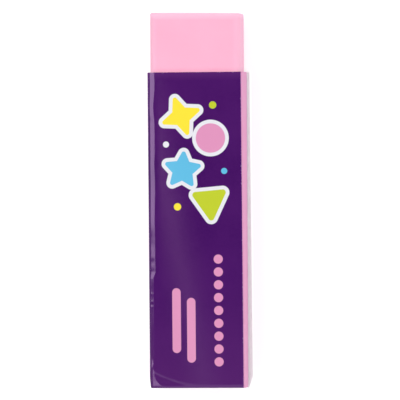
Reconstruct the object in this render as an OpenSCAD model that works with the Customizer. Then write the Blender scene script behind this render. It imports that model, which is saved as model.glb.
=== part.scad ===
// A slim vinyl eraser block in a folded card sleeve, lying on the sleeve's back panel.
// X runs across it, Y along it towards the bare end, and Z up through the front panel.
// The origin is on the resting face, under the middle of the block's width and of the whole length.
// All sizes are in millimetres.

/* [Eraser block] */
// Length of the block
block_length = 60; // [40:0.5:90]
// Width of the block
block_width = 14.8; // [12:0.1:30]
// Thickness of the block
block_thickness = 10; // [6:0.1:20]
// Radius along the block's four long edges
long_edge_radius = 0.8; // [0.3:0.1:2]
// Radius of the top and bottom edges of its two ends
end_edge_radius = 0.9; // [0.3:0.1:2]
// Radius of its upright corners
end_corner_radius = 0.6; // [0.3:0.1:2]

/* [Card sleeve] */
// Length of the block that the sleeve leaves bare
bare_length = 9.8; // [4:0.1:20]
// Depth of the block's tail inside the sleeve's other end
tail_recess = 1.5; // [0.2:0.1:5]
// Thickness of the card
card_thickness = 0.3; // [0.2:0.05:0.6]
// Inner radius of the card's folds
fold_radius = 0.5; // [0.2:0.05:1]
// Play between the block and the card on each side
block_play = 0.1; // [0.05:0.01:0.4]

/* [Glued lap] */
// Width of the flap that is glued inside the back panel
flap_width = 7; // [3:0.5:8]
// Length over which the flap's ends slant
flap_slant = 2.5; // [0.5:0.5:6]
// Depth by which the glued layers are pressed into each other
lap_press = 0.03; // [0.01:0.01:0.1]
// Width by which the back panel's cut edge stands out past the right side at the mouth
lap_at_mouth = 0.45; // [0.1:0.05:1.5]
// Width by which it stands out at the tail
lap_at_tail = 0.8; // [0.1:0.05:1.5]
// Length of the corner cut off that edge at the tail
lap_corner = 1.8; // [0.5:0.1:5]

/* [Hidden] */
$fn = 64;

// How far a cut runs past the face that it opens
cut_over = 1;

// A fold is never rounder than the block's edge that lies in it.
inner_fold = min(fold_radius, long_edge_radius + block_play);
outer_fold = inner_fold + card_thickness;

// Along the sleeve, from its tail to its mouth
sleeve_length = block_length + tail_recess - bare_length;
sleeve_tail = -(block_length + tail_recess) / 2;
sleeve_mouth = sleeve_tail + sleeve_length;
block_tail = sleeve_tail + tail_recess;

// Levels from the resting face up: back panel, flap on it, block, front panel
flap_bottom = card_thickness - lap_press;
flap_top = flap_bottom + card_thickness;
block_bottom = flap_top + block_play;
front_inside = block_bottom + block_thickness + block_play;
sleeve_height = front_inside + card_thickness;

// Across the sleeve
right_face = block_width / 2 + block_play + card_thickness;
left_face = -right_face;
flap_fold = right_face - outer_fold;
flap_edge = flap_fold - flap_width;

// Rectangle between two opposite corners, with every corner round
module round_rect(low, high, radius) {
    size = high - low;
    translate([low.x + radius, low.y])
        square([size.x - 2 * radius, size.y]);
    translate([low.x, low.y + radius])
        square([size.x, size.y - 2 * radius]);
    for (x = [low.x + radius, high.x - radius], y = [low.y + radius, high.y - radius])
        translate([x, y])
            circle(radius);
}

// Rectangle between two opposite corners, with only the lower left corner round
module one_fold_rect(low, high, radius) {
    size = high - low;
    translate([low.x + radius, low.y])
        square([size.x - radius, size.y]);
    translate([low.x, low.y + radius])
        square([size.x, size.y - radius]);
    translate([low.x + radius, low.y + radius])
        circle(radius);
}

// Solid along Y from a section drawn in X and Z
module along_y(start, length) {
    translate([0, start + length, 0])
        rotate([90, 0, 0])
            linear_extrude(length)
                children();
}

// Solid across X from a side view drawn in Y and Z
module across_x(start, length) {
    translate([start, 0, 0])
        rotate([90, 0, 90])
            linear_extrude(length)
                children();
}

// Vinyl block: its section, side view and plan are round rectangles that meet in soft corners.
module eraser_block() {
    half_width = block_width / 2;
    block_top = block_bottom + block_thickness;
    block_tip = block_tail + block_length;
    color("#ffbad6")
        intersection() {
            along_y(block_tail, block_length)
                round_rect([-half_width, block_bottom], [half_width, block_top], long_edge_radius);
            across_x(-half_width, block_width)
                round_rect([block_tail, block_bottom], [block_tip, block_top], end_edge_radius);
            translate([0, 0, block_bottom])
                linear_extrude(block_thickness)
                    round_rect([-half_width, block_tail], [half_width, block_tip], end_corner_radius);
        }
}

// Outline of the folded sheet: the right side turns in above the back panel.
module sheet_outside() {
    round_rect([left_face, flap_bottom], [right_face, sleeve_height], outer_fold);
    one_fold_rect([left_face, 0], [flap_fold, flap_bottom + 2 * outer_fold], outer_fold);
}

// Space inside the folded sheet, deeper beside the flap than above it
module sheet_inside() {
    inner_left = left_face + card_thickness;
    inner_right = right_face - card_thickness;
    round_rect([inner_left, flap_top], [inner_right, front_inside], inner_fold);
    one_fold_rect([inner_left, card_thickness], [flap_edge, flap_top + 2 * inner_fold], inner_fold);
}

// Margin of the back panel, cut a little askew, that stands out past the right side
module back_margin() {
    linear_extrude(card_thickness)
        polygon([
            [flap_edge, sleeve_tail],
            [right_face, sleeve_tail],
            [right_face + lap_at_tail, sleeve_tail + lap_corner],
            [right_face + lap_at_mouth, sleeve_mouth],
            [flap_edge, sleeve_mouth]
        ]);
}

// Wedge off one end of the flap, from the fold to its free edge
module flap_end_cut(end, inwards) {
    translate([0, 0, card_thickness])
        linear_extrude(card_thickness)
            polygon([
                [flap_fold, end],
                [flap_edge, end + inwards * flap_slant],
                [flap_edge, end - inwards * cut_over],
                [flap_fold, end - inwards * cut_over]
            ]);
}

// Card sleeve: one sheet with four folds, closed by a flap inside its back panel
module card_sleeve() {
    color("#521e69")
        difference() {
            union() {
                along_y(sleeve_tail, sleeve_length)
                    difference() {
                        sheet_outside();
                        sheet_inside();
                    }
                back_margin();
            }
            flap_end_cut(sleeve_tail, 1);
            flap_end_cut(sleeve_mouth, -1);
        }
}

eraser_block();
card_sleeve();
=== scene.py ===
"""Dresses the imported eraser: a vinyl block in a printed card sleeve, lying on a pale floor.

Lengths are in millimetres until a mesh is made. X runs across, Y towards the bare end, Z up.
"""
import math

import bpy
from mathutils import Matrix, Vector, noise


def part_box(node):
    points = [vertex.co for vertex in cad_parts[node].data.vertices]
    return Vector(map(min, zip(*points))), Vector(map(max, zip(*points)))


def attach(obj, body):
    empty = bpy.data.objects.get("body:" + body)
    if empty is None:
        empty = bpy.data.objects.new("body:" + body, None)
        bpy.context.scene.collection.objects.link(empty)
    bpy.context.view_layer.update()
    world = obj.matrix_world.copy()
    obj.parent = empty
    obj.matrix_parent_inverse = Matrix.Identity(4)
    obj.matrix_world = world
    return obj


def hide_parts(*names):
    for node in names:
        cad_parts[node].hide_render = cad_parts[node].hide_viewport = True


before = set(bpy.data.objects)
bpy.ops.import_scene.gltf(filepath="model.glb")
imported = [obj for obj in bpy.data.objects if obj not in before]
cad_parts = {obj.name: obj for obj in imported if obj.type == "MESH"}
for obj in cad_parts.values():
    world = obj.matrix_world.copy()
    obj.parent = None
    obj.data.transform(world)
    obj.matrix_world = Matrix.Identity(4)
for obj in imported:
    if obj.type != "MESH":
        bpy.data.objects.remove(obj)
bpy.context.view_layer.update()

MM = 0.001

# Boxes of the two solids
SLEEVE_LOW, SLEEVE_HIGH = (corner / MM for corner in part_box("card_sleeve"))
BLOCK_LOW, BLOCK_HIGH = (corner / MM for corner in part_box("eraser_block"))
TAIL, MOUTH = SLEEVE_LOW.y, SLEEVE_HIGH.y
LEFT, RIGHT = SLEEVE_LOW.x, -SLEEVE_LOW.x
TOP = SLEEVE_HIGH.z

# The sheet's thickness, the outer radius of its plain folds, and that of the front's right fold
CARD = 0.3
FOLD = 0.8
RIGHT_FOLD = 0.4

# The front's left fold rolls over softly for some degrees, then turns down on a tight radius.
# Nearer the tail than FIRM_FROM the soft radius turns firm and smaller, and smaller still where crushed.
ROLL_OVER = 43
TIGHT_FOLD = 0.34
SOFT_FOLD = 1.52
FIRM_FOLD = 1.06
TAIL_FOLD = 0.68
FIRM_FROM = 19.0
FIRM_LENGTH = 1.0
CRUSHED_FROM = 5.2
CRUSHED_TO = 2.4

# The soft radius swells unevenly along the fold, most of all at the mouth, and the firm one has nicks.
SWELL = 0.14
SWELL_AT_MOUTH = 0.28
SWELL_FADE = 10.0
SWELL_SIZE = 4.0
SWELL_SEED = 98.42
RIPPLE = 0.06
RIPPLE_SIZE = 1.3
RIPPLE_SEED = 61.57
NICKS = (15.4, 14.15, 13.3)
NICK_DEPTH = 0.03
NICK_LENGTH = 0.16

# The flap glued inside the back panel, and the lap of that panel which stands out past the right side
GLUE = 0.005
FLAP_BOTTOM = CARD + GLUE
FLAP_WIDTH = 7.0
FLAP_SLANT = 2.5
LAP_AT_MOUTH = 0.45
LAP_AT_TAIL = 0.6
LAP_CORNER = 1.8
LAP_LEFT = 0.03
LAP_BEVEL = 0.25

# How far the right side's foot leans out, how the tail is cut askew, and how its cut edge is pressed,
# more so on the left side
LEAN_AT_MOUTH = 0.08
LEAN_AT_TAIL = -0.09
TAIL_SKEW = 0.08
TAIL_PRESS = 0.05
LEFT_PRESS = 1.5
PRESS_LENGTH = 0.45

# The tail's left corner: a facet inside a crease that runs out along the fold
CREASE_EDGE = 0.45
CREASE_REACH = 2.32
CREASE_FADE = 1.11
FACET_SLOPE = 0.105
FACET_FROM = 6.0
FACET_TO = 4.0
SIDE_CRUSH = 0.14
SIDE_CRUSH_LENGTH = 2.2

# The shallow step beyond it, whose edge is an arc that falls and flattens towards the right
ARC_LEFT = 1.15
ARC_START = 2.2
ARC_FALL = 0.5
ARC_BEND = 0.0275
ARC_LENGTH = 9.0
ARC_WIDTH = 0.75
ARC_DEPTH = 0.06

# How far the front panel is bowed in, and the room that the inner face keeps to the block
BOW = 0.012
BOW_SIZE = 6.0
BOW_SEED = 3.1
SIDE_ROOM = 0.07
FRONT_ROOM = 0.08
EDGE_ROOM = 0.65
EDGE_REACH = 1.17


def smooth(low, high, value):
    """Eases from 0 at low to 1 at high."""
    part = min(max((value - low) / (high - low), 0.0), 1.0)
    return part * part * (3 - 2 * part)


def wave(x, y, size, seed):
    """Even noise between about -1 and 1, with swells of the given size."""
    return noise.noise(Vector((x / size, y / size, seed)))


def spaced(start, end, count):
    """Even steps from start towards end, without the end."""
    return [start + (end - start) * i / count for i in range(count)]


def new_piece(name, points, faces, materials, material_of_face, body, node):
    """Makes a smooth mesh object that stands for a solid and rides on its body."""
    mesh = bpy.data.meshes.new(name)
    mesh.from_pydata([Vector(point) * MM for point in points], [], faces)
    for material in materials:
        mesh.materials.append(material)
    mesh.polygons.foreach_set("material_index", material_of_face)
    mesh.shade_smooth()
    piece = bpy.data.objects.new(name, mesh)
    bpy.context.collection.objects.link(piece)
    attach(piece, body)
    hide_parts(node)
    return piece


# Node materials

class Num:
    """A number in a node tree. Its arithmetic adds Math nodes."""

    def __init__(self, tree, socket):
        self.tree = tree
        self.socket = socket

    def do(self, operation, *others):
        node = self.tree.nodes.new("ShaderNodeMath")
        node.operation = operation
        for inlet, value in zip(node.inputs, (self, *others)):
            if isinstance(value, Num):
                self.tree.links.new(value.socket, inlet)
            else:
                inlet.default_value = value
        return Num(self.tree, node.outputs[0])

    def __add__(self, other):
        return self.do("ADD", other)

    def __sub__(self, other):
        return self.do("SUBTRACT", other)

    def __mul__(self, other):
        return self.do("MULTIPLY", other)

    def __neg__(self):
        return self.do("MULTIPLY", -1.0)

    def root(self):
        return self.do("SQRT")

    def size(self):
        return self.do("ABSOLUTE")

    def at_least(self, other):
        return self.do("MAXIMUM", other)

    def at_most(self, other):
        return self.do("MINIMUM", other)


def linear(code):
    """Linear colour of a hexadecimal sRGB code."""
    parts = [int(code[i:i + 2], 16) / 255 for i in (1, 3, 5)]
    return [p / 12.92 if p <= 0.04045 else ((p + 0.055) / 1.055) ** 2.4 for p in parts] + [1.0]


def new_material(name):
    """An empty principled material, its tree and its shader."""
    material = bpy.data.materials.new(name)
    material.use_nodes = True
    tree = material.node_tree
    return material, tree, tree.nodes["Principled BSDF"]


def mapped(number, from_low, from_high, to_low=0.0, to_high=1.0):
    """The number carried from one range to another and held inside it."""
    node = number.tree.nodes.new("ShaderNodeMapRange")
    number.tree.links.new(number.socket, node.inputs["Value"])
    node.inputs["From Min"].default_value = from_low
    node.inputs["From Max"].default_value = from_high
    node.inputs["To Min"].default_value = to_low
    node.inputs["To Max"].default_value = to_high
    return Num(number.tree, node.outputs["Result"])


def mixed(tree, factor, first, second):
    """A colour between two colours, each a socket or a value."""
    node = tree.nodes.new("ShaderNodeMix")
    node.data_type = "RGBA"
    tree.links.new(factor.socket, node.inputs["Factor"])
    inlets = [inlet for inlet in node.inputs if inlet.type == "RGBA"]
    for inlet, colour in zip(inlets, (first, second)):
        if isinstance(colour, bpy.types.NodeSocket):
            tree.links.new(colour, inlet)
        else:
            inlet.default_value = colour
    return next(outlet for outlet in node.outputs if outlet.type == "RGBA")


def grain(tree, vector, scale, detail=2.0, stretch=(1.0, 1.0, 1.0)):
    """Noise from 0 to 1; the scale is in swells to the metre."""
    spread = tree.nodes.new("ShaderNodeMapping")
    spread.inputs["Scale"].default_value = stretch
    tree.links.new(vector, spread.inputs["Vector"])
    node = tree.nodes.new("ShaderNodeTexNoise")
    node.inputs["Scale"].default_value = scale
    node.inputs["Detail"].default_value = detail
    tree.links.new(spread.outputs["Vector"], node.inputs["Vector"])
    return Num(tree, node.outputs["Fac"])


def bumped(tree, shader, height, distance, strength):
    """Links a height to the shader's normal."""
    node = tree.nodes.new("ShaderNodeBump")
    node.inputs["Distance"].default_value = distance
    node.inputs["Strength"].default_value = strength
    tree.links.new(height.socket, node.inputs["Height"])
    tree.links.new(node.outputs["Normal"], shader.inputs["Normal"])


def place(tree):
    """Where a point of the surface is, in the piece's own frame."""
    return tree.nodes.new("ShaderNodeTexCoord").outputs["Object"]


# The vinyl's colours, and a paler colour along its edges that is a painted highlight: how far it reaches,
# and how much weaker it is on the longer edges
VINYL_DEEP = linear("#fbadca")
VINYL_PALE = linear("#fdb2ce")
VINYL_HIGHLIGHT = linear("#fccae3")
VINYL_SHEEN = (1.0, 0.68, 1.0, 1.0)
HIGHLIGHT_REACH = 1.3
UPRIGHT_HIGHLIGHT = 0.4
LONG_HIGHLIGHT = 0.35


def vinyl():
    """Soft plastic of the block: satin pink, a little cloudy, finely grained, with a highlight painted paler
    along its edges.
    """
    material, tree, shader = new_material("vinyl")
    spot = place(tree)
    cloud = mapped(grain(tree, spot, 160), 0.3, 0.7)
    colour = mixed(tree, cloud, VINYL_DEEP, VINYL_PALE)
    split = tree.nodes.new("ShaderNodeSeparateXYZ")
    tree.links.new(spot, split.inputs["Vector"])
    middle, half = (BLOCK_LOW + BLOCK_HIGH) / 2 * MM, (BLOCK_HIGH - BLOCK_LOW) / 2 * MM
    across, along, up = (
        mapped((Num(tree, split.outputs[k]) - middle[k]).size(), half[k] - HIGHLIGHT_REACH * MM, half[k])
        for k in range(3)
    )
    # Painted highlight: the colour turns paler towards the block's edges, most of all at its ends
    end_edges = along.at_most((across * UPRIGHT_HIGHLIGHT).at_least(up))
    long_edges = across.at_most(up) * LONG_HIGHLIGHT
    colour = mixed(tree, end_edges.at_least(long_edges), colour, VINYL_HIGHLIGHT)
    tree.links.new(colour, shader.inputs["Base Color"])
    fine = grain(tree, spot, 7000, 3.0)
    tree.links.new(mapped(fine, 0.2, 0.8, 0.48, 0.6).socket, shader.inputs["Roughness"])
    shader.inputs["Specular IOR Level"].default_value = 0.75
    shader.inputs["Sheen Weight"].default_value = 0.25
    shader.inputs["Sheen Roughness"].default_value = 0.35
    shader.inputs["Sheen Tint"].default_value = VINYL_SHEEN
    shader.inputs["Subsurface Weight"].default_value = 0.12
    shader.inputs["Subsurface Radius"].default_value = (1.0, 0.45, 0.6)
    shader.inputs["Subsurface Scale"].default_value = 0.6 * MM
    bumped(tree, shader, fine, 0.02 * MM, 0.35)
    return material


CARD_GREY = linear("#f1eff0")
CARD_WHITE = linear("#faf9fa")


def raw_card():
    """Bare card: the sheet's inner face and its cut edges, off-white with short fibres."""
    material, tree, shader = new_material("raw_card")
    spot = place(tree)
    fibre = grain(tree, spot, 2600, 4.0, (1.0, 0.3, 1.0))
    colour = mixed(tree, mapped(fibre, 0.3, 0.7), CARD_GREY, CARD_WHITE)
    tree.links.new(colour, shader.inputs["Base Color"])
    tree.links.new(mapped(fibre, 0.2, 0.8, 0.8, 0.95).socket, shader.inputs["Roughness"])
    shader.inputs["Specular IOR Level"].default_value = 0.2
    bumped(tree, shader, fibre, 0.03 * MM, 0.4)
    return material


# Print on the flat sheet: x from the middle of the front panel, y as along the sleeve

# Inks
PURPLE_DEEP = linear("#42105f")
PURPLE_PALE = linear("#4d1968")
# A paler purple: for the painted reflection in the slanting band, and for the paler mouth and tail
PURPLE_TAIL = linear("#58256c")
RUBBED_INK = linear("#b59fc2")
SIDE_PINK = linear("#e194bf")
PRINT_PINK = linear("#e297bf")
PRINT_WHITE = linear("#eaeaf0")
SKY_BLUE = linear("#65bfe5")
LIME = linear("#c3d035")
YELLOW = linear("#fee640")

# Width that the UV map covers, the motifs' outline and edge, and where the print changes at the folds
SHEET_SPAN = 100.0
OUTLINE = 0.6
INK_EDGE = 0.04
PRINT_SHIFT = 0.13
PRINT_SKEW = 0.0014
FOLD_LENGTH = RIGHT_FOLD * math.pi / 2
HALF_FRONT = RIGHT - RIGHT_FOLD + FOLD_LENGTH
SIDE_END = HALF_FRONT + TOP - FLAP_BOTTOM - RIGHT_FOLD - FOLD / 2
LEFT_CREASE = HALF_FRONT - 0.1
LEFT_PRINT = HALF_FRONT + 0.35

# A slanting band on the film, hazed there (rougher) and painted paler there as a painted reflection. The
# purple is also paler at the mouth, and from PALER_FROM to the tail.
BAND_AT = -4.7
BAND_SLANT = 0.2
BAND_WIDTH = 4.8
PAINTED_REFLECTION = 0.45
PALER_FROM = MOUTH - 34.0
TAIL_PALER = 0.75
MOUTH_LENGTH = 1.4
MOUTH_PALER = 0.9

# How strongly ends and folds are rubbed, and how fast that ends away from them
RUBBED_MOST = 0.55
RUBBED_FADE = 1.2

# Roughness of the film, and what haze, the satin sides and rubbed spots add to it
FILM_LEAST = 0.06
FILM_MOST = 0.1
HAZE_ROUGH = 0.13
SATIN_ROUGH = 0.5
RUBBED_ROUGH = 0.5


def star(x, y, points, tip, notch, rounding):
    """Distance to a star with round points, or to a polygon if the notches lie on its sides."""
    half = math.pi / points
    step_x = notch * math.cos(half) - tip
    step_y = notch * math.sin(half)
    length = step_x * step_x + step_y * step_y
    angle = y.do("ARCTAN2", x).do("PINGPONG", half)
    radius = (x * x + y * y).root()
    from_tip = radius * angle.do("COSINE") - tip
    above = radius * angle.do("SINE")
    along = (from_tip * (step_x / length) + above * (step_y / length)).at_least(0.0).at_most(1.0)
    off_x = from_tip - along * step_x
    off_y = above - along * step_y
    distance = (off_x * off_x + off_y * off_y).root()
    outside = (from_tip * step_y - above * step_x).do("SIGN")
    return distance * outside - rounding


def disc(x, y, radius):
    """Distance to a disc."""
    return (x * x + y * y).root() - radius


def bar(x, y, half_length, radius):
    """Distance to a bar along y with round ends."""
    beyond = (y.size() - half_length).at_least(0.0)
    return (x * x + beyond * beyond).root() - radius


def turned(x, y, at, degrees=0.0):
    """Coordinates round a motif's own middle, turned with it."""
    c, s = math.cos(math.radians(degrees)), math.sin(math.radians(degrees))
    x, y = x - at[0], y - at[1]
    return x * c + y * s, y * c - x * s


def motifs(x, y):
    """Large motifs with a white outline."""
    px, py = turned(x, y, (-2.3, MOUTH - 7.2), 20)
    yield star(px, py, 4, 2.9, 1.2, 0.35), YELLOW
    px, py = turned(x, y, (2.5, MOUTH - 10.8))
    yield disc(px, py, 2.4), PRINT_PINK
    px, py = turned(x, y, (-2.1, MOUTH - 16.0), 14)
    yield star(px, py, 5, 2.7, 1.35, 0.35), SKY_BLUE
    px, py = turned(x, y, (2.3, MOUTH - 21.2), 35)
    yield star(px, py, 3, 2.6, 1.3, 0.5), LIME


def small_motifs(x, y):
    """Dots between the large motifs, and two bars and a row of dots near the tail."""
    for at, radius, ink in (
        ((2.9, MOUTH - 5.4), 0.6, LIME),
        ((-4.8, MOUTH - 11.8), 0.5, PRINT_WHITE),
        ((4.7, MOUTH - 16.2), 0.5, SKY_BLUE),
        ((-3.0, MOUTH - 22.0), 0.6, YELLOW),
    ):
        px, py = turned(x, y, at)
        yield disc(px, py, radius), ink
    px, py = turned(x, y, (3.6, MOUTH - 39.0))
    half_pitch, half_row = 1.05, 9.45
    dot = disc(px, py.do("PINGPONG", half_pitch), 0.75)
    yield dot.at_least(py.size() - half_row), PRINT_PINK
    for at_x, from_mouth in ((-3.3, 40.6), (-0.9, 42.2)):
        px, py = turned(x, y, (at_x, MOUTH - from_mouth))
        yield bar(px, py, 4.6, 0.7), PRINT_PINK


def printed_card():
    """Printed face of the sheet: glossy film over the front and back, satin ink on the sides."""
    material, tree, shader = new_material("printed_card")
    sheet = tree.nodes.new("ShaderNodeUVMap")
    sheet.uv_map = "sheet"
    split = tree.nodes.new("ShaderNodeSeparateXYZ")
    tree.links.new(sheet.outputs["UV"], split.inputs["Vector"])
    x = (Num(tree, split.outputs["X"]) - 0.5) * SHEET_SPAN
    y = (Num(tree, split.outputs["Y"]) - 0.5) * SHEET_SPAN
    spot = place(tree)

    def inked(colour, distance, ink, margin=0.0):
        mask = mapped(distance, margin + INK_EDGE, margin - INK_EDGE)
        return mixed(tree, mask, colour, ink)

    cloud = mapped(grain(tree, spot, 110, 3.0), 0.35, 0.7)
    mottle = mapped(grain(tree, spot, 2200, 2.0), 0.35, 0.7, 0.0, 0.35)
    colour = mixed(tree, cloud, PURPLE_DEEP, PURPLE_PALE)
    colour = mixed(tree, mottle, colour, PURPLE_PALE)
    # The purple is painted paler in the slanting band, a painted reflection, and is paler at the mouth and
    # towards the tail; the band's haze adds roughness further down
    across_band = (x + y * BAND_SLANT - BAND_AT).size()
    haze_and_reflection = mapped(across_band, BAND_WIDTH, 0.4) * mapped(x, LEFT + 1.0, LEFT + 2.2)
    paler = (haze_and_reflection * PAINTED_REFLECTION).at_least(mapped(y, PALER_FROM, TAIL, 0.0, TAIL_PALER))
    paler = paler.at_least(mapped(y, MOUTH - MOUTH_LENGTH, MOUTH - 0.1, 0.0, MOUTH_PALER))
    colour = mixed(tree, paler, colour, PURPLE_TAIL)
    right_fold = x + y * PRINT_SKEW - (HALF_FRONT - FOLD_LENGTH / 2 - PRINT_SHIFT)
    on_front = right_fold.at_least(-x - LEFT_PRINT)
    side = (-on_front).at_least(x.size() - SIDE_END)
    colour = inked(colour, side, SIDE_PINK)
    for distance, ink in motifs(x, y):
        colour = inked(colour, distance, PRINT_WHITE, OUTLINE)
        colour = inked(colour, distance, ink)
    for distance, ink in small_motifs(x, y):
        colour = inked(colour, distance, ink)
    to_end = (y - TAIL).at_most(-y + MOUTH)
    to_fold = right_fold.size().at_most((x + LEFT_CREASE).size())
    chips = grain(tree, spot, 3200, 3.0)
    rubbed = mapped(chips - to_end.at_most(to_fold) * RUBBED_FADE, 0.5, 0.62, 0.0, RUBBED_MOST)
    colour = mixed(tree, rubbed, colour, RUBBED_INK)
    tree.links.new(colour, shader.inputs["Base Color"])

    fine = grain(tree, spot, 1500, 3.0)
    ripple = grain(tree, spot, 600)
    satin = mapped(side, 0.3, -0.3)
    roughness = mapped(fine, 0.2, 0.8, FILM_LEAST, FILM_MOST)
    roughness = roughness + haze_and_reflection * HAZE_ROUGH + satin * SATIN_ROUGH + rubbed * RUBBED_ROUGH
    tree.links.new(roughness.socket, shader.inputs["Roughness"])
    shader.inputs["IOR"].default_value = 1.63
    shader.inputs["Specular Tint"].default_value = (0.94, 0.66, 1.0, 1.0)
    bumped(tree, shader, fine + ripple * 3.0, 0.01 * MM, 0.1)
    return material


# Card sleeve

def left_fold(y):
    """Radius of the front's left fold: soft and uneven, then firm with nicks, and crushed at the tail."""
    swell = SWELL + SWELL_AT_MOUTH * math.exp((y - MOUTH) / SWELL_FADE)
    soft = SOFT_FOLD + swell * wave(0.0, y, SWELL_SIZE, SWELL_SEED)
    soft += RIPPLE * wave(0.0, y, RIPPLE_SIZE, RIPPLE_SEED)
    firm = FIRM_FOLD + (TAIL_FOLD - FIRM_FOLD) * smooth(CRUSHED_FROM, CRUSHED_TO, y - TAIL)
    nicks = sum(math.exp(-((y - TAIL - at) / NICK_LENGTH) ** 2) for at in NICKS)
    firmness = smooth(FIRM_FROM, FIRM_FROM - FIRM_LENGTH, y - TAIL)
    return soft + (firm - soft) * firmness - NICK_DEPTH * nicks


def dent(x, y, nx, nz):
    """How far the card is pressed in at one point, as a step in x and z."""
    from_left, from_tail = x - LEFT, y - TAIL
    push_x, push_z = 0.0, 0.0
    if nz > 0.0:
        crease = CREASE_EDGE + CREASE_REACH * math.exp(-from_tail / CREASE_FADE)
        inside = max(0.0, crease - from_left)
        push_z -= FACET_SLOPE * inside * smooth(FACET_FROM, FACET_TO, from_tail)
        along_arc = min(from_left - ARC_LEFT, ARC_LENGTH)
        arc = ARC_START - ARC_FALL * along_arc + ARC_BEND * along_arc ** 2
        into_arc = min(max((arc - from_tail) / ARC_WIDTH + 1, 0.0), 1.0)
        push_z -= ARC_DEPTH * into_arc ** 1.4
        push_z -= BOW * (1 + wave(x, y, BOW_SIZE, BOW_SEED)) * smooth(0.0, 2.0, RIGHT - x)
        push_z *= smooth(0.0, 0.5, nz)
    if nx < 0.0:
        push_x += SIDE_CRUSH * smooth(SIDE_CRUSH_LENGTH, 0.0, from_tail) * -nx
    return push_x, push_z


def room(x):
    """How far the inner face can be pressed in before it meets the block, which has a round edge."""
    return FRONT_ROOM + EDGE_ROOM * max(0.0, LEFT + EDGE_REACH - x) ** 2


def section(y):
    """Outer line of the folded sheet at one place along it: x, z and the outward normal."""
    front_left = left_fold(y)
    part = (y - TAIL) / (MOUTH - TAIL)
    lap = LAP_AT_TAIL + (LAP_AT_MOUTH - LAP_AT_TAIL) * part
    lap *= min(1.0, LAP_LEFT + (y - TAIL) / LAP_CORNER)
    foot = RIGHT + LEAN_AT_TAIL + (LEAN_AT_MOUTH - LEAN_AT_TAIL) * part
    line = []

    def run(start, end, normal, count):
        for x, z in zip(spaced(start[0], end[0], count), spaced(start[1], end[1], count)):
            line.append((x, z, *normal))

    def bend(centre, radius, start, count, sweep=90):
        for angle in spaced(start, start - sweep, count):
            nx, nz = math.cos(math.radians(angle)), math.sin(math.radians(angle))
            line.append((centre[0] + radius * nx, centre[1] + radius * nz, nx, nz))

    run((RIGHT + lap, 0), (RIGHT, 0), (0, -1), 3)
    run((RIGHT, 0), (LEFT + FOLD, 0), (0, -1), 12)
    bend((LEFT + FOLD, FOLD), FOLD, 270, 10)
    tight = min(TIGHT_FOLD, front_left)
    c, s = math.cos(math.radians(ROLL_OVER)), math.sin(math.radians(ROLL_OVER))
    tight_x = LEFT + tight
    tight_z = TOP - front_left + (front_left - tight) * c
    soft_x = tight_x + (front_left - tight) * s
    run((LEFT, FOLD), (LEFT, tight_z), (-1, 0), 10)
    bend((tight_x, tight_z), tight, 180, 7, 90 - ROLL_OVER)
    bend((soft_x, TOP - front_left), front_left, 90 + ROLL_OVER, 12, ROLL_OVER)
    near_fold = LEFT + 2.4
    run((soft_x, TOP), (near_fold, TOP), (0, 1), 14)
    run((near_fold, TOP), (RIGHT - RIGHT_FOLD, TOP), (0, 1), 36)
    bend((RIGHT - RIGHT_FOLD, TOP - RIGHT_FOLD), RIGHT_FOLD, 90, 10)
    run((RIGHT, TOP - RIGHT_FOLD), (foot, FLAP_BOTTOM + FOLD), (1, 0), 10)
    bend((foot - FOLD, FLAP_BOTTOM + FOLD), FOLD, 0, 10)
    flap_edge = RIGHT - FOLD - FLAP_WIDTH
    run((foot - FOLD, FLAP_BOTTOM), (flap_edge, FLAP_BOTTOM), (0, -1), 10)
    line.append((flap_edge, FLAP_BOTTOM, 0, -1))
    return line


def sheet_places(line):
    """Distance of each point along the sheet from the middle of the front panel."""
    along = [0.0]
    for (x0, z0, *_), (x1, z1, *_) in zip(line, line[1:]):
        along.append(along[-1] + math.hypot(x1 - x0, z1 - z0))
    middle = next(a - x for a, (x, z, *_) in zip(along, line) if z == TOP and x > LEFT + 2)
    return [a - middle for a in along]


def sleeve_rows():
    """Places along the sleeve, closer together where the tail is crushed and the fold is nicked."""
    lap_end, crushed_end, firm_end = TAIL + LAP_CORNER, TAIL + 6, TAIL + 22
    near = spaced(TAIL, lap_end, 12) + spaced(lap_end, crushed_end, 36)
    return near + spaced(crushed_end, firm_end, 108) + spaced(firm_end, MOUTH, 90) + [MOUTH]


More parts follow.
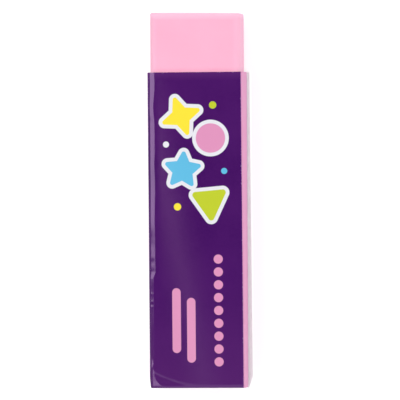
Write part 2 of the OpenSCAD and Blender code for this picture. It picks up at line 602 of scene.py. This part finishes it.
def make_sleeve(printed, bare):
    """One closed mesh: the sheet's printed face, its inner face and the cut edges between them."""
    outer, inner, uvs = [], [], []
    rows = sleeve_rows()
    for y in rows:
        line = section(y)
        for (x, z, nx, nz), u in zip(line, sheet_places(line)):
            reach = (RIGHT - FOLD - x) / FLAP_WIDTH if z == FLAP_BOTTOM else 0.0
            slant = FLAP_SLANT * max(0.0, reach)
            part = (y - TAIL) / (MOUTH - TAIL)
            askew = TAIL_SKEW * (1 - part) * (RIGHT - x) / (RIGHT - LEFT)
            along = TAIL + slant + part * (MOUTH - TAIL - 2 * slant) + max(0.0, askew)
            dx, dz = dent(x, along, nx, nz)
            press = TAIL_PRESS * smooth(PRESS_LENGTH, 0.0, along - TAIL)
            press *= 1 - LEFT_PRESS * min(nx, 0.0)
            outer.append((x + dx - press * nx, along, z + dz - press * nz))
            dx, dz = min(dx, SIDE_ROOM), max(dz, -room(x))
            depth = CARD - LAP_BEVEL * max(0.0, x - RIGHT)
            inner.append((x + dx - depth * nx, along, z + dz - depth * nz))
            uvs.append((u / SHEET_SPAN + 0.5, along / SHEET_SPAN + 0.5))
    across = len(section(TAIL))
    count = len(outer)
    faces, kinds = [], []

    def add(kind, *corners):
        faces.append(corners)
        kinds.append(kind)

    for row in range(len(rows) - 1):
        for i in range(row * across, row * across + across - 1):
            add(0, i, i + 1, i + across + 1, i + across)
            j = i + count
            add(1, j, j + across, j + across + 1, j + 1)
        start, end = row * across, row * across + across - 1
        add(1, start, start + across, start + across + count, start + count)
        add(1, end, end + count, end + count + across, end + across)
    last = (len(rows) - 1) * across
    for i in range(across - 1):
        add(1, i, i + count, i + count + 1, i + 1)
        j = i + last
        add(1, j, j + 1, j + count + 1, j + count)

    piece = new_piece(
        "printed_sleeve", outer + inner, faces, (printed, bare), kinds,
        "sleeve", "card_sleeve",
    )
    layer = piece.data.uv_layers.new(name="sheet")
    for loop in piece.data.loops:
        layer.data[loop.index].uv = uvs[loop.vertex_index % count]
    piece.data.set_sharp_from_angle(angle=math.radians(40))
    return piece


# Vinyl block: radii of its edges and upright corners, and the spacing of its grid
LONG_EDGE = 0.8
END_EDGE = 1.25
LEFT_CORNER = 0.3
RIGHT_CORNER = 0.28
GRID = 0.6

# Unevenness of its faces, how it lies in its play, and how its tip is cut askew
SURFACE_PLAY = 0.02
SURFACE_SIZE = 5.0
SIDE_SHIFT = 0.02
SIDE_TURN = 0.0022
SINK = 0.05
TIP_SKEW = 0.014


def round_rect(a, b, half_a, half_b, radius):
    """Distance to a rectangle with round corners, below 0 inside it."""
    over_a, over_b = abs(a) - half_a + radius, abs(b) - half_b + radius
    corner = math.hypot(max(over_a, 0.0), max(over_b, 0.0))
    return corner + min(max(over_a, over_b), 0.0) - radius


def steps(low, high, spacing):
    """Grid lines along one side of the block, closer together over its round edges."""
    curve = [END_EDGE * (1 - math.tan(math.radians(45 - 7.5 * i))) for i in range(6)]
    flat_low, flat_high = low + END_EDGE, high - END_EDGE
    flat = spaced(flat_low, flat_high, round((flat_high - flat_low) / spacing))
    return [low + c for c in curve] + flat + [flat_high] + [high - c for c in reversed(curve)]


def settled(point):
    """A point of the block as it lies: low and a little askew in its play, with its tip cut askew."""
    x, y, z = point
    part = (y - BLOCK_LOW.y) / (BLOCK_HIGH.y - BLOCK_LOW.y)
    return Vector((x + SIDE_SHIFT + SIDE_TURN * y, y - TIP_SKEW * part * (x - BLOCK_LOW.x), z - SINK))


def make_block(material):
    """A block whose section, side view and plan have round corners, with slightly uneven faces."""
    lines = [steps(BLOCK_LOW[k], BLOCK_HIGH[k], GRID) for k in range(3)]
    middle, half = (BLOCK_LOW + BLOCK_HIGH) / 2, (BLOCK_HIGH - BLOCK_LOW) / 2
    inner = half - Vector((END_EDGE, END_EDGE, END_EDGE))
    number, points, faces = {}, [], []

    def depth(p):
        return max(
            round_rect(p.x, p.z, half.x, half.z, LONG_EDGE),
            round_rect(p.y, p.z, half.y, half.z, END_EDGE),
            round_rect(p.x, p.y, half.x, half.y, LEFT_CORNER if p.x < 0 else RIGHT_CORNER),
        )

    def vertex(key):
        if key not in number:
            raw = Vector(lines[k][key[k]] for k in range(3)) - middle
            core = Vector(min(max(raw[k], -inner[k]), inner[k]) for k in range(3))
            near, far = core, raw
            for _ in range(24):
                between = (near + far) / 2
                if depth(between) > 0:
                    far = between
                else:
                    near = between
            swell = SURFACE_PLAY * (1 + noise.noise(core / SURFACE_SIZE)) / 2
            number[key] = len(points)
            points.append(settled(middle + near - (raw - core).normalized() * swell))
        return number[key]

    for axis in range(3):
        side_a, side_b = (axis + 1) % 3, (axis + 2) % 3
        for end in (0, len(lines[axis]) - 1):
            for a in range(len(lines[side_a]) - 1):
                for b in range(len(lines[side_b]) - 1):
                    corners = []
                    for da, db in ((0, 0), (1, 0), (1, 1), (0, 1)):
                        key = [0, 0, 0]
                        key[axis], key[side_a], key[side_b] = end, a + da, b + db
                        corners.append(vertex(tuple(key)))
                    faces.append(corners if end else corners[::-1])
    return new_piece(
        "vinyl_block", points, faces, (material,), [0] * len(faces),
        "block", "eraser_block",
    )


make_sleeve(printed_card(), raw_card())
make_block(vinyl())


# Floor, light and camera

def seen_directly(tree):
    """1 for rays from the camera, and for those by way of a mirror or glass."""
    path = tree.nodes.new("ShaderNodeLightPath")
    kinds = ("Is Camera Ray", "Is Glossy Ray", "Is Transmission Ray")
    first, *others = (Num(tree, path.outputs[kind]) for kind in kinds)
    for other in others:
        first = first.at_least(other)
    return first


def make_floor():
    """A pale floor that is white to the camera and keeps the shadow."""
    reach, drop, lift = 3000.0, 0.02, 0.45
    mesh = bpy.data.meshes.new("floor")
    corners = [(-reach, -reach), (reach, -reach), (reach, reach), (-reach, reach)]
    mesh.from_pydata([Vector((x, y, -drop)) * MM for x, y in corners], [], [(0, 1, 2, 3)])
    floor = bpy.data.objects.new("floor", mesh)
    bpy.context.collection.objects.link(floor)
    material = bpy.data.materials.new("floor")
    material.use_nodes = True
    tree = material.node_tree
    tree.nodes.clear()
    diffuse = tree.nodes.new("ShaderNodeBsdfDiffuse")
    diffuse.inputs["Color"].default_value = (0.8, 0.8, 0.8, 1.0)
    glow = tree.nodes.new("ShaderNodeEmission")
    tree.links.new((seen_directly(tree) * lift).socket, glow.inputs["Strength"])
    both = tree.nodes.new("ShaderNodeAddShader")
    tree.links.new(diffuse.outputs["BSDF"], both.inputs[0])
    tree.links.new(glow.outputs["Emission"], both.inputs[1])
    output = tree.nodes.new("ShaderNodeOutputMaterial")
    tree.links.new(both.outputs["Shader"], output.inputs["Surface"])
    mesh.materials.append(material)


def make_lamp(name, radiance, inner, outer, start, end, turn):
    """A soft panel between two angles from the zenith, from start to end along the floor in metres.

    At turn 0 it is to the right, and start and end are along Y.
    """
    distance = 0.6
    length = end - start
    near, far = (
        Vector((math.sin(math.radians(a)), 0, math.cos(math.radians(a)))) * distance
        for a in (inner, outer)
    )
    width = (far - near).length
    lamp = bpy.data.lights.new(name, "AREA")
    lamp.shape = "RECTANGLE"
    lamp.size = width
    lamp.size_y = length
    lamp.energy = radiance * math.pi * width * length
    across = (far - near).normalized()
    along = Vector((0, 1, 0))
    basis = Matrix((across, along, across.cross(along))).transposed().to_4x4()
    spin = Matrix.Rotation(math.radians(turn), 4, "Z")
    obj = bpy.data.objects.new(name, lamp)
    middle = (near + far) / 2 + along * (start + end) / 2
    obj.matrix_world = spin @ Matrix.Translation(middle) @ basis
    bpy.context.collection.objects.link(obj)


def make_world():
    """Even light from low all round and hardly any from above, white to the camera.

    What mirrors or lets through the backdrop shows its low white part.
    """
    world = bpy.data.worlds.new("studio")
    world.use_nodes = True
    tree = world.node_tree
    background = tree.nodes["Background"]
    background.inputs["Color"].default_value = (1.0, 1.0, 1.0, 1.0)
    split = tree.nodes.new("ShaderNodeSeparateXYZ")
    tree.links.new(tree.nodes.new("ShaderNodeTexCoord").outputs["Generated"], split.inputs["Vector"])
    height = Num(tree, split.outputs["Z"])
    low_glow, high_glow = 0.27, 0.03
    glow = mapped(height, 0.6, 0.8, low_glow, high_glow)
    backdrop_top, fade = 0.1, 0.04
    backdrop = seen_directly(tree) * mapped(height, backdrop_top, backdrop_top + fade, 1.0, 0.0)
    camera = Num(tree, tree.nodes.new("ShaderNodeLightPath").outputs["Is Camera Ray"])
    strength = glow.at_least(backdrop).at_least(camera)
    tree.links.new(strength.socket, background.inputs["Strength"])
    bpy.context.scene.world = world


def make_camera():
    """A long lens above the front panel, a little to the right of it."""
    yaw, roll = math.radians(3.9), math.radians(0.5)
    distance, sensor, image, scale = 2500.0, 36.0, 400, 6.117
    aim = Vector((0.0, -4.89, TOP))
    aim_x, aim_y = 196.0, 230.15
    back = Vector((math.sin(yaw), 0, math.cos(yaw)))
    level = Vector((math.cos(yaw), 0, -math.sin(yaw)))
    right = level * math.cos(roll) - Vector((0, 1, 0)) * math.sin(roll)
    up = back.cross(right)
    middle = aim - right * ((aim_x - image / 2) / scale) + up * ((aim_y - image / 2) / scale)
    data = bpy.data.cameras.new("camera")
    data.sensor_width = sensor
    data.lens = sensor * distance * scale / image
    camera = bpy.data.objects.new("camera", data)
    basis = Matrix((right, up, back)).transposed().to_4x4()
    camera.matrix_world = Matrix.Translation((middle + back * distance) * MM) @ basis
    bpy.context.collection.objects.link(camera)
    bpy.context.scene.camera = camera


make_floor()
make_lamp("key", radiance=3.6, inner=10, outer=62, start=-0.186, end=0.0137, turn=180)
make_lamp("low_key", radiance=2.0, inner=12.5, outer=34, start=0.05, end=0.24, turn=180)
make_lamp("fill", radiance=1.25, inner=30, outer=80, start=-0.45, end=0.45, turn=0)
make_lamp("far", radiance=1.9, inner=42, outer=70, start=-0.45, end=0.45, turn=90)
make_lamp("near", radiance=1.25, inner=40, outer=68, start=-0.45, end=0.45, turn=270)
make_lamp("near_high", radiance=0.7, inner=12, outer=40, start=-0.32, end=0.12, turn=270)
make_world()
make_camera()

bpy.context.scene.view_settings.view_transform = "Standard"
